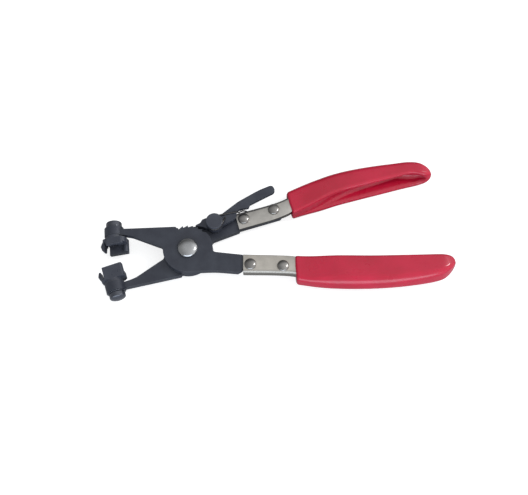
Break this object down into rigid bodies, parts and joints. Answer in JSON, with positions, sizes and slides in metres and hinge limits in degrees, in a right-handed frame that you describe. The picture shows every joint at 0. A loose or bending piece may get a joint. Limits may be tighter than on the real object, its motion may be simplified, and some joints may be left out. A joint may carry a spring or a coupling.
{
  "type": "hose clamp pliers",
  "caption": "Hand pliers that squeeze spring hose clamps: stacked stamped halves on a rivet pivot, swivel jaws, a ratchet lock lever, folded steel handles and red dipped grips.",
  "frame": {"origin": "centre of the pivot rivet's flat rear face", "axes": "+X from the jaws towards the handles, midway between them; +Z along the pivot, out of the front; +Y towards the handle that carries the lock lever"},
  "size_m": [0.2175, 0.0838, 0.017],
  "materials": {
    "black_oxide": "satin black oxide",
    "bright_steel": "plated, lightly brushed",
    "zinc_sheet": "zinc-plated sheet",
    "red_pvc": "glossy dipped PVC"
  },
  "bodies": {
    "front_half": {"front_jaw_plate": "black_oxide", "pivot_rivet": "bright_steel", "pivot_washer": "black_oxide", "lower_handle_channel": "zinc_sheet", "lower_handle_inner_rivet": "bright_steel", "lower_handle_outer_rivet": "bright_steel", "lower_grip": "red_pvc"},
    "rear_half": {"rear_jaw_plate": "black_oxide", "upper_handle_channel": "zinc_sheet", "upper_handle_inner_rivet": "bright_steel", "upper_handle_outer_rivet": "bright_steel", "upper_grip": "red_pvc", "lock_lever_pin": "black_oxide"},
    "upper_jaw": {"upper_swivel_jaw": "black_oxide", "upper_swivel_pin": "black_oxide", "upper_swivel_washer": "black_oxide"},
    "lower_jaw": {"lower_swivel_jaw": "black_oxide", "lower_swivel_pin": "black_oxide", "lower_swivel_washer": "black_oxide"},
    "lever": {"lock_lever": "black_oxide", "lock_spring": "bright_steel"}
  },
  "joints": [
    {"name": "plier_pivot", "type": "hinge", "parent": "front_half", "child": "rear_half", "pos_m": [0, 0, 0.0066], "axis": [0, 0, 1], "range_deg": [-11, 38]},
    {"name": "upper_jaw_swivel", "type": "hinge", "parent": "front_half", "child": "upper_jaw", "pos_m": [-0.0448, 0.0181, 0.0066], "axis": [-0.0262, -0.9997, 0], "continuous": true},
    {"name": "lower_jaw_swivel", "type": "hinge", "parent": "rear_half", "child": "lower_jaw", "pos_m": [-0.0462, -0.0181, 0.0066], "axis": [-0.1736, 0.9848, 0], "continuous": true},
    {"name": "lever_pivot", "type": "hinge", "parent": "rear_half", "child": "lever", "pos_m": [0.0182, 0.0142, 0.0066], "axis": [0, 0, 1], "range_deg": [-6, 0], "stiffness_Nm_per_rad": 0.05, "springref_deg": 11.46}
  ]
}
